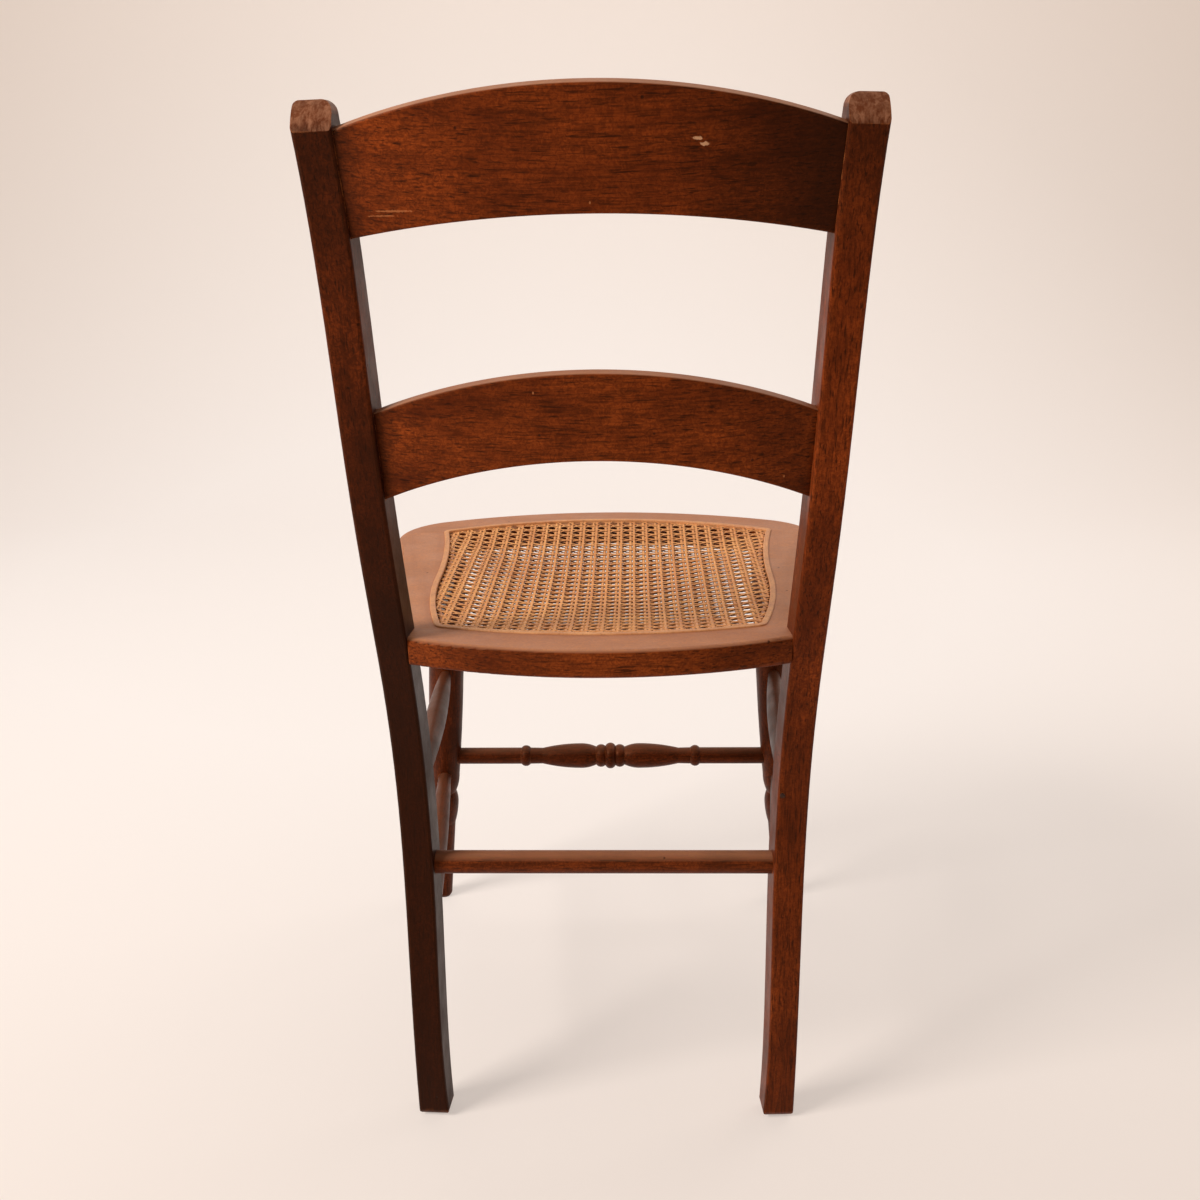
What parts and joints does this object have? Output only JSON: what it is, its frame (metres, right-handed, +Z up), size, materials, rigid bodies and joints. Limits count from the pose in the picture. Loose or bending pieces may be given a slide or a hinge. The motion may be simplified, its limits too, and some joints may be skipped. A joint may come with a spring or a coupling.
{
  "type": "ladderback chair",
  "caption": "Ladderback side chair in dark stained wood with bowed slats, a caned seat, turned front legs and round stretchers.",
  "frame": {"origin": "on the floor, under the middle of the chair's width and depth", "axes": "+Z up, +Y towards the front of the seat, +X towards the right of a person behind the chair looking forward"},
  "size_m": [0.4152, 0.5024, 0.8446],
  "materials": {
    "stained_wood": "satin",
    "cane": "satin",
    "plain_wood": "matte",
    "iron": "matte"
  },
  "bodies": {
    "root": {"crest_rail": "stained_wood", "lower_slat": "stained_wood", "seat_rear_rail": "stained_wood", "seat_front_rail": "stained_wood", "seat_side_rail_left": "stained_wood", "seat_side_rail_right": "stained_wood", "seat_frame_dowels": "plain_wood", "cane_panel": "cane", "cane_spline": "cane", "front_leg_left": "stained_wood", "front_leg_right": "stained_wood", "front_stretcher": "stained_wood", "rear_stretcher": "stained_wood", "upper_side_stretcher_left": "stained_wood", "upper_side_stretcher_right": "stained_wood", "lower_side_stretcher_left": "stained_wood", "lower_side_stretcher_right": "stained_wood", "stretcher_brad": "iron", "rear_post_left": "stained_wood", "rear_post_right": "stained_wood"}
  },
  "joints": []
}
